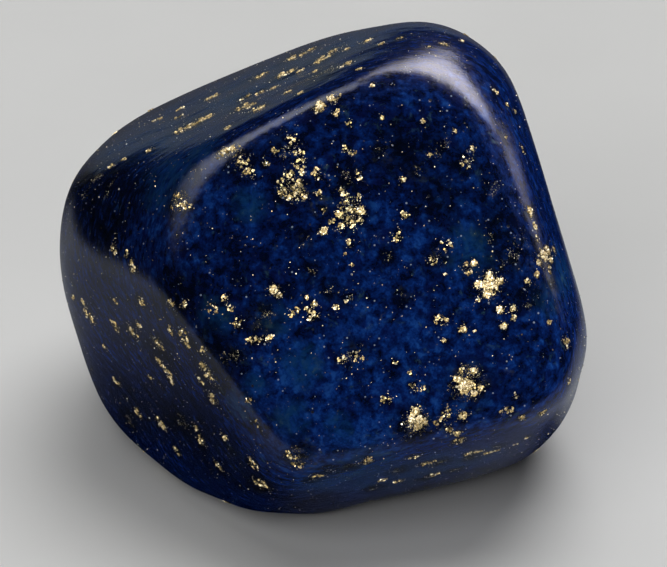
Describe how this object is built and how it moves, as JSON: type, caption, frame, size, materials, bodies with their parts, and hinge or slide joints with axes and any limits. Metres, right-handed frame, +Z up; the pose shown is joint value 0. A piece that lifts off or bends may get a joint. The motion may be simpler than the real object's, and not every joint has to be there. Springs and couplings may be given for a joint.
{
  "type": "tumbled lapis lazuli stone",
  "caption": "Tumbled and polished lapis lazuli: a chunky deep blue stone with a broad front face, rounded edges and golden pyrite flecks, resting on a small flat spot.",
  "frame": {"origin": "on the surface that the stone rests on, under the middle of the stone's bounding box", "axes": "+X to the right across the broad front face, which looks towards -Y and up; +Z up from the flat spot that the stone rests on"},
  "size_m": [0.0378, 0.0342, 0.0324],
  "materials": {
    "lapis": "tumble-polished deep ultramarine lapis lazuli, mottled from near black to mid blue with a few grey-teal clouds",
    "pyrite": null
  },
  "bodies": {
    "root": {"stone": "lapis"}
  },
  "joints": []
}
